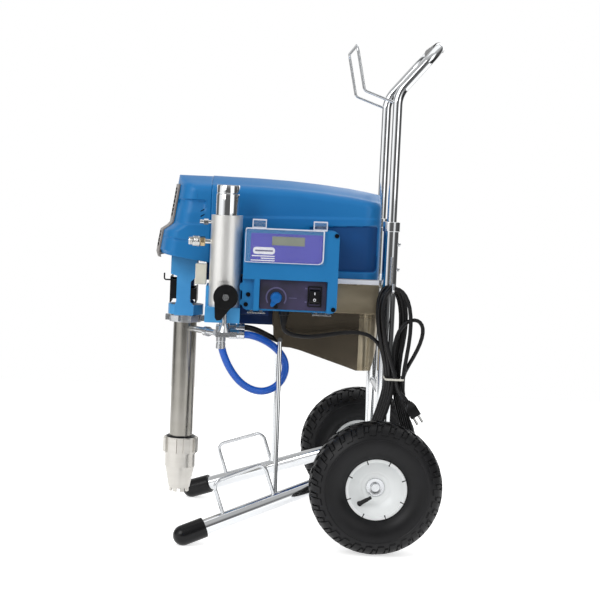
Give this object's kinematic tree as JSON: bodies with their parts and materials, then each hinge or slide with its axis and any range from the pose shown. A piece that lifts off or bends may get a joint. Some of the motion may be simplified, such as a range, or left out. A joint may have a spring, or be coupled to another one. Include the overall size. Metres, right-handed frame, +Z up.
{
  "type": "airless paint sprayer",
  "caption": "Electric airless paint sprayer on a two-wheeled tube cart, with a piston pump, filter column, control box and telescoping handle.",
  "frame": {"origin": "on the floor under the middle of the bounding box, without the free cords", "axes": "+Z up; +X towards the wheels and the handle; the control box is on the -Y side"},
  "size_m": [0.5971, 0.57, 1.026],
  "materials": {
    "chromed_tube": "polished",
    "zinc_steel": "satin",
    "deck_steel": "polished",
    "blue_plastic": "gloss",
    "light_blue_plastic": "satin",
    "blue_paint": "gloss",
    "cast_aluminium": "satin",
    "anodised_aluminium": "satin",
    "motor_steel": "matt",
    "machined_steel": "machined",
    "packing": "matt",
    "white_plastic": "matt",
    "board": "matt",
    "clear_plastic": "clear",
    "purple_label": "satin",
    "black_plastic": "satin",
    "blue_knob": "gloss",
    "blue_hose": "satin",
    "black_rubber": "satin",
    "tyre": "matt",
    "white_rim": "gloss"
  },
  "bodies": {
    "cart": {"side_tube_near": "chromed_tube", "side_tube_far": "chromed_tube", "frame_braces": "chromed_tube", "post_collars": "zinc_steel", "foot_caps": "black_rubber", "leg_loops": "zinc_steel", "axle": "zinc_steel", "cord_hook": "zinc_steel", "tray": "deck_steel", "tray_skirt": "deck_steel", "motor_shroud": "blue_plastic", "front_cover": "blue_plastic", "front_plate": "cast_aluminium", "gear_housing": "blue_paint", "pump_yoke": "blue_paint", "motor_case": "motor_steel", "jam_nut": "zinc_steel", "pump_cylinder": "machined_steel", "pump_packings": "packing", "intake_nut": "zinc_steel", "inlet_strainer": "machined_steel", "rod_guards": "black_plastic", "filter_column": "anodised_aluminium", "filter_cap": "chromed_tube", "filter_element": "white_plastic", "manifold_block": "blue_paint", "sensor_block": "white_plastic", "hose_outlet": "machined_steel", "hose_fittings": "machined_steel", "drain_valve": "machined_steel", "box_housing": "light_blue_plastic", "box_bracket": "blue_paint", "circuit_board": "board", "cover_hinges": "clear_plastic", "control_panel": "purple_label", "box_screws": "black_plastic", "cable_gland": "black_plastic", "blue_hose": "blue_hose", "black_hose": "black_rubber", "mains_cable": "black_rubber", "cable_hank": "black_rubber", "mains_plug": "black_rubber", "cable_tie": "white_plastic"},
    "handle": {"handle_bar": "chromed_tube", "hose_hanger": "zinc_steel", "handle_grip": "black_rubber"},
    "wheel_near": {"tyre_near": "tyre", "rim_near": "white_rim"},
    "wheel_far": {"tyre_far": "tyre", "rim_far": "white_rim"},
    "rotor": {"motor_rotor": "machined_steel", "motor_fan": "black_plastic"},
    "crank": {"crank_gear": "machined_steel"},
    "pump_rod": {"piston_rod": "machined_steel"},
    "con_rod": {"connecting_rod": "cast_aluminium"},
    "intake_check": {"intake_ball": "machined_steel"},
    "drain_lever": {"drain_handle": "black_plastic"},
    "knob": {"pressure_knob": "blue_knob"},
    "rocker": {"power_switch": "black_plastic"},
    "lid": {"display_cover": "clear_plastic"}
  },
  "joints": [
    {"name": "handle_slide", "type": "slide", "parent": "cart", "child": "handle", "axis": [0, 0, 1], "range_m": [-0.22, 0]},
    {"name": "wheel_near_spin", "type": "hinge", "parent": "cart", "child": "wheel_near", "pos_m": [0.166, -0.241, 0.133], "axis": [0, 1, 0], "continuous": true},
    {"name": "wheel_far_spin", "type": "hinge", "parent": "cart", "child": "wheel_far", "pos_m": [0.166, 0.241, 0.133], "axis": [0, 1, 0], "continuous": true},
    {"name": "motor_spin", "type": "hinge", "parent": "cart", "child": "rotor", "pos_m": [-0.034, 0, 0.634], "axis": [1, 0, 0], "continuous": true},
    {"name": "crank_spin", "type": "hinge", "parent": "cart", "child": "crank", "pos_m": [-0.184, 0, 0.58], "axis": [1, 0, 0], "continuous": true},
    {"name": "pump_stroke", "type": "slide", "parent": "cart", "child": "pump_rod", "axis": [0, 0, 1], "range_m": [-0.04, 0]},
    {"name": "rod_swing", "type": "hinge", "parent": "pump_rod", "child": "con_rod", "pos_m": [-0.232, 0, 0.508], "axis": [1, 0, 0], "range_deg": [-12.5, 12.5]},
    {"name": "ball_lift", "type": "slide", "parent": "cart", "child": "intake_check", "axis": [0, 0, 1], "range_m": [0, 0.004]},
    {"name": "drain_turn", "type": "hinge", "parent": "cart", "child": "drain_lever", "pos_m": [-0.146, -0.21, 0.497], "axis": [0, 1, 0], "range_deg": [0, 90]},
    {"name": "knob_turn", "type": "hinge", "parent": "cart", "child": "knob", "pos_m": [-0.046, -0.198, 0.498], "axis": [0, 1, 0], "range_deg": [0, 270]},
    {"name": "switch_rock", "type": "hinge", "parent": "cart", "child": "rocker", "pos_m": [0.0305, -0.182, 0.5025], "axis": [1, 0, 0], "range_deg": [-8, 8]},
    {"name": "lid_open", "type": "hinge", "parent": "cart", "child": "lid", "pos_m": [-0.024, -0.196, 0.645], "axis": [-1, 0, 0], "range_deg": [0, 120]}
  ],
  "couplings": [
    {"joint": "motor_spin", "follows": "crank_spin", "ratio": -5}
  ]
}
